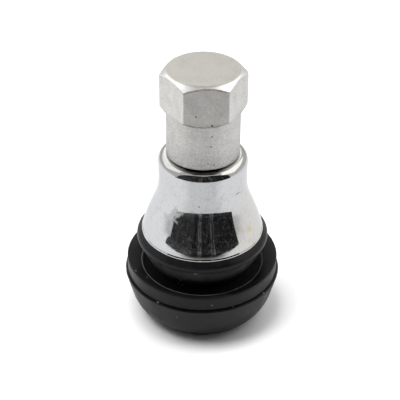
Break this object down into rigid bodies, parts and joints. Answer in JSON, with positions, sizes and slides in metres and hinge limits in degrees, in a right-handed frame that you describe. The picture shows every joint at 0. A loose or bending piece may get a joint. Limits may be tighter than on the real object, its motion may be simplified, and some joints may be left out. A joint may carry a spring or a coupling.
{
  "type": "tubeless tyre valve",
  "caption": "Short snap-in tubeless tyre valve: moulded rubber body on a brass stem, bright metal sleeve, hexagon screw cap, and a sprung valve core inside.",
  "frame": {"origin": "centre of the rubber foot, on the surface that the valve stands on", "axes": "+Z along the valve's axis from the foot to the cap; the picture's camera looks along +Y and down, with +X to its right"},
  "size_m": [0.0198, 0.0198, 0.0349],
  "materials": {
    "black_rubber": "moulded black rubber with a slight sheen",
    "sleeve_chrome": "bright chromium plate on a drawn brass sleeve",
    "cap_plate": "satin plate with small pits and light wear",
    "stem_brass": "turned brass",
    "core_brass": "fine turned brass",
    "spring_steel": "bright spring wire",
    "seal_rubber": "dark red sealing rubber"
  },
  "bodies": {
    "valve_body": {"rubber_body": "black_rubber", "sleeve": "sleeve_chrome", "stem": "stem_brass", "core_plug": "core_brass", "core_barrel": "core_brass", "barrel_gasket": "seal_rubber", "core_spring": "spring_steel"},
    "pin": {"core_pin": "core_brass", "pin_cup": "core_brass", "cup_washer": "black_rubber"},
    "cap_seal": {"cap_washer": "seal_rubber"},
    "cap": {"cap": "cap_plate"}
  },
  "joints": [
    {"name": "cap_rise", "type": "slide", "parent": "valve_body", "child": "cap_seal", "axis": [0, 0, 1], "range_m": [0, 0.00952]},
    {"name": "cap_turn", "type": "hinge", "parent": "cap_seal", "child": "cap", "pos_m": [0, 0, 0], "axis": [0, 0, 1], "range_deg": [0, 4320]},
    {"name": "pin_press", "type": "slide", "parent": "valve_body", "child": "pin", "axis": [0, 0, -1], "range_m": [0, 0.0012], "stiffness_N_per_m": 1500, "deforming": ["core_spring"]}
  ],
  "couplings": [
    {"joint": "cap_turn", "follows": "cap_rise", "rad_per_m": 7915.8}
  ]
}
